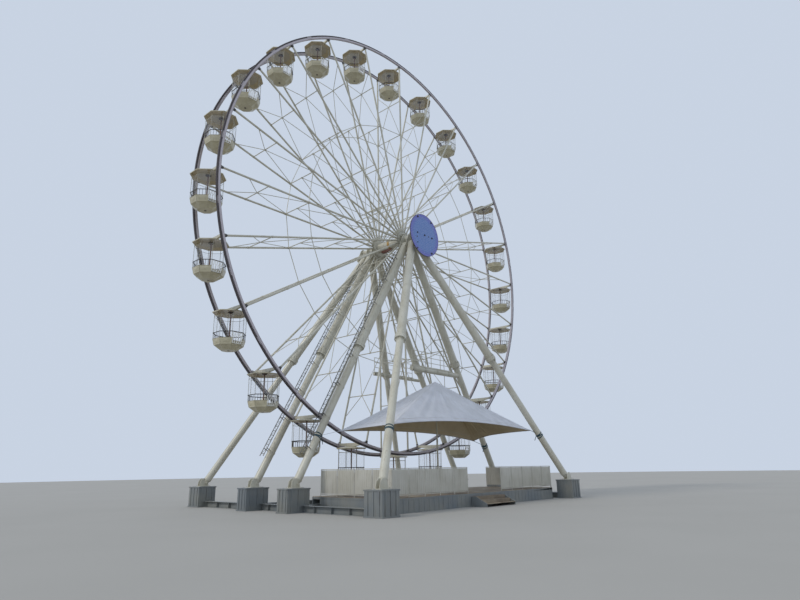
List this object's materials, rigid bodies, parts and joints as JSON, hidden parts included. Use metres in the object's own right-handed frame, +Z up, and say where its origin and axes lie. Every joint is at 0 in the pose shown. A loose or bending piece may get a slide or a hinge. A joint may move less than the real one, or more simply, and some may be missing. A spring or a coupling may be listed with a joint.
{
  "type": "ferris wheel",
  "caption": "Transportable ferris wheel with level octagonal cabins between two rims, on upright legs and outriggers, with a boarding deck and a peaked canopy.",
  "frame": {"origin": "on the ground under the hub, at the bottom centre of the box", "axes": "+Z up, Y along the axle with the boarding side at -Y, +X to the right seen from the boarding side"},
  "size_m": [31.6, 16.696, 33.1266],
  "materials": {
    "cabin_cream": "glossy cream glass-fibre shell",
    "cream_steel": "cream gloss paint on steel tube",
    "rim_paint": "pale lilac paint with a light strip",
    "board_face": "blue-violet panel",
    "dark_steel": "dark grey satin paint",
    "base_grey": "worn grey paint",
    "deck_board": "coated plywood deck",
    "fence_cream": "cream painted sheet",
    "canvas": "white coated canvas"
  },
  "bodies": {
    "support": {"leg_front_left": "cream_steel", "leg_front_right": "cream_steel", "leg_rear_left": "cream_steel", "leg_rear_right": "cream_steel", "outrigger_front_left": "cream_steel", "outrigger_front_right": "cream_steel", "outrigger_rear_left": "cream_steel", "outrigger_rear_right": "cream_steel", "front_bearing_head": "cream_steel", "rear_bearing_head": "cream_steel", "front_board": "board_face", "front_walkway": "cream_steel", "rear_walkway": "cream_steel", "front_ladder": "dark_steel", "rear_ladder": "dark_steel", "ground_frame": "base_grey", "boarding_deck": "deck_board", "deck_steps": "deck_board", "fence_front_left": "fence_cream", "fence_front_right": "fence_cream", "fence_left": "fence_cream", "fence_right": "fence_cream", "boarding_canopy": "canvas", "canopy_mast": "cream_steel"},
    "wheel": {"front_rim": "rim_paint", "rear_rim": "rim_paint", "hub_drum": "cream_steel", "spoke_sector_1": "cream_steel", "spoke_sector_2": "cream_steel", "spoke_sector_3": "cream_steel", "spoke_sector_4": "cream_steel", "spoke_sector_5": "cream_steel", "spoke_sector_6": "cream_steel"},
    "cabin_body_01": {"cabin_01": "cabin_cream"},
    "cabin_body_02": {"cabin_02": "cabin_cream"},
    "cabin_body_03": {"cabin_03": "cabin_cream"},
    "cabin_body_04": {"cabin_04": "cabin_cream"},
    "cabin_body_05": {"cabin_05": "cabin_cream"},
    "cabin_body_06": {"cabin_06": "cabin_cream"},
    "cabin_body_07": {"cabin_07": "cabin_cream"},
    "cabin_body_08": {"cabin_08": "cabin_cream"},
    "cabin_body_09": {"cabin_09": "cabin_cream"},
    "cabin_body_10": {"cabin_10": "cabin_cream"},
    "cabin_body_11": {"cabin_11": "cabin_cream"},
    "cabin_body_12": {"cabin_12": "cabin_cream"},
    "cabin_body_13": {"cabin_13": "cabin_cream"},
    "cabin_body_14": {"cabin_14": "cabin_cream"},
    "cabin_body_15": {"cabin_15": "cabin_cream"},
    "cabin_body_16": {"cabin_16": "cabin_cream"},
    "cabin_body_17": {"cabin_17": "cabin_cream"},
    "cabin_body_18": {"cabin_18": "cabin_cream"},
    "cabin_body_19": {"cabin_19": "cabin_cream"},
    "cabin_body_20": {"cabin_20": "cabin_cream"},
    "cabin_body_21": {"cabin_21": "cabin_cream"},
    "cabin_body_22": {"cabin_22": "cabin_cream"},
    "cabin_body_23": {"cabin_23": "cabin_cream"},
    "cabin_body_24": {"cabin_24": "cabin_cream"}
  },
  "joints": [
    {"name": "wheel_spin", "type": "hinge", "parent": "support", "child": "wheel", "pos_m": [0, 0, 18], "axis": [0, 1, 0], "continuous": true},
    {"name": "cabin_level_01", "type": "hinge", "parent": "wheel", "child": "cabin_body_01", "pos_m": [-0.013, 0, 32.89999], "axis": [0, 1, 0], "continuous": true},
    {"name": "cabin_level_02", "type": "hinge", "parent": "wheel", "child": "cabin_body_02", "pos_m": [3.84384, 0, 32.39565], "axis": [0, 1, 0], "continuous": true},
    {"name": "cabin_level_03", "type": "hinge", "parent": "wheel", "child": "cabin_body_03", "pos_m": [7.43874, 0, 30.91027], "axis": [0, 1, 0], "continuous": true},
    {"name": "cabin_level_04", "type": "hinge", "parent": "wheel", "child": "cabin_body_04", "pos_m": [10.52669, 0, 28.54508], "axis": [0, 1, 0], "continuous": true},
    {"name": "cabin_level_05", "type": "hinge", "parent": "wheel", "child": "cabin_body_05", "pos_m": [12.89727, 0, 25.46126], "axis": [0, 1, 0], "continuous": true},
    {"name": "cabin_level_06", "type": "hinge", "parent": "wheel", "child": "cabin_body_06", "pos_m": [14.38892, 0, 21.86896], "axis": [0, 1, 0], "continuous": true},
    {"name": "cabin_level_07", "type": "hinge", "parent": "wheel", "child": "cabin_body_07", "pos_m": [14.89999, 0, 18.013], "axis": [0, 1, 0], "continuous": true},
    {"name": "cabin_level_08", "type": "hinge", "parent": "wheel", "child": "cabin_body_08", "pos_m": [14.39565, 0, 14.15616], "axis": [0, 1, 0], "continuous": true},
    {"name": "cabin_level_09", "type": "hinge", "parent": "wheel", "child": "cabin_body_09", "pos_m": [12.91028, 0, 10.56126], "axis": [0, 1, 0], "continuous": true},
    {"name": "cabin_level_10", "type": "hinge", "parent": "wheel", "child": "cabin_body_10", "pos_m": [10.54508, 0, 7.47331], "axis": [0, 1, 0], "continuous": true},
    {"name": "cabin_level_11", "type": "hinge", "parent": "wheel", "child": "cabin_body_11", "pos_m": [7.46126, 0, 5.10273], "axis": [0, 1, 0], "continuous": true},
    {"name": "cabin_level_12", "type": "hinge", "parent": "wheel", "child": "cabin_body_12", "pos_m": [3.86896, 0, 3.61108], "axis": [0, 1, 0], "continuous": true},
    {"name": "cabin_level_13", "type": "hinge", "parent": "wheel", "child": "cabin_body_13", "pos_m": [0.013, 0, 3.10001], "axis": [0, 1, 0], "continuous": true},
    {"name": "cabin_level_14", "type": "hinge", "parent": "wheel", "child": "cabin_body_14", "pos_m": [-3.84384, 0, 3.60434], "axis": [0, 1, 0], "continuous": true},
    {"name": "cabin_level_15", "type": "hinge", "parent": "wheel", "child": "cabin_body_15", "pos_m": [-7.43874, 0, 5.08972], "axis": [0, 1, 0], "continuous": true},
    {"name": "cabin_level_16", "type": "hinge", "parent": "wheel", "child": "cabin_body_16", "pos_m": [-10.52669, 0, 7.45492], "axis": [0, 1, 0], "continuous": true},
    {"name": "cabin_level_17", "type": "hinge", "parent": "wheel", "child": "cabin_body_17", "pos_m": [-12.89727, 0, 10.53874], "axis": [0, 1, 0], "continuous": true},
    {"name": "cabin_level_18", "type": "hinge", "parent": "wheel", "child": "cabin_body_18", "pos_m": [-14.38892, 0, 14.13104], "axis": [0, 1, 0], "continuous": true},
    {"name": "cabin_level_19", "type": "hinge", "parent": "wheel", "child": "cabin_body_19", "pos_m": [-14.89999, 0, 17.987], "axis": [0, 1, 0], "continuous": true},
    {"name": "cabin_level_20", "type": "hinge", "parent": "wheel", "child": "cabin_body_20", "pos_m": [-14.39565, 0, 21.84384], "axis": [0, 1, 0], "continuous": true},
    {"name": "cabin_level_21", "type": "hinge", "parent": "wheel", "child": "cabin_body_21", "pos_m": [-12.91028, 0, 25.43874], "axis": [0, 1, 0], "continuous": true},
    {"name": "cabin_level_22", "type": "hinge", "parent": "wheel", "child": "cabin_body_22", "pos_m": [-10.54508, 0, 28.52669], "axis": [0, 1, 0], "continuous": true},
    {"name": "cabin_level_23", "type": "hinge", "parent": "wheel", "child": "cabin_body_23", "pos_m": [-7.46126, 0, 30.89727], "axis": [0, 1, 0], "continuous": true},
    {"name": "cabin_level_24", "type": "hinge", "parent": "wheel", "child": "cabin_body_24", "pos_m": [-3.86896, 0, 32.38892], "axis": [0, 1, 0], "continuous": true}
  ],
  "couplings": [
    {"joint": "cabin_level_01", "follows": "wheel_spin", "ratio": -1},
    {"joint": "cabin_level_02", "follows": "wheel_spin", "ratio": -1},
    {"joint": "cabin_level_03", "follows": "wheel_spin", "ratio": -1},
    {"joint": "cabin_level_04", "follows": "wheel_spin", "ratio": -1},
    {"joint": "cabin_level_05", "follows": "wheel_spin", "ratio": -1},
    {"joint": "cabin_level_06", "follows": "wheel_spin", "ratio": -1},
    {"joint": "cabin_level_07", "follows": "wheel_spin", "ratio": -1},
    {"joint": "cabin_level_08", "follows": "wheel_spin", "ratio": -1},
    {"joint": "cabin_level_09", "follows": "wheel_spin", "ratio": -1},
    {"joint": "cabin_level_10", "follows": "wheel_spin", "ratio": -1},
    {"joint": "cabin_level_11", "follows": "wheel_spin", "ratio": -1},
    {"joint": "cabin_level_12", "follows": "wheel_spin", "ratio": -1},
    {"joint": "cabin_level_13", "follows": "wheel_spin", "ratio": -1},
    {"joint": "cabin_level_14", "follows": "wheel_spin", "ratio": -1},
    {"joint": "cabin_level_15", "follows": "wheel_spin", "ratio": -1},
    {"joint": "cabin_level_16", "follows": "wheel_spin", "ratio": -1},
    {"joint": "cabin_level_17", "follows": "wheel_spin", "ratio": -1},
    {"joint": "cabin_level_18", "follows": "wheel_spin", "ratio": -1},
    {"joint": "cabin_level_19", "follows": "wheel_spin", "ratio": -1},
    {"joint": "cabin_level_20", "follows": "wheel_spin", "ratio": -1},
    {"joint": "cabin_level_21", "follows": "wheel_spin", "ratio": -1},
    {"joint": "cabin_level_22", "follows": "wheel_spin", "ratio": -1},
    {"joint": "cabin_level_23", "follows": "wheel_spin", "ratio": -1},
    {"joint": "cabin_level_24", "follows": "wheel_spin", "ratio": -1}
  ]
}
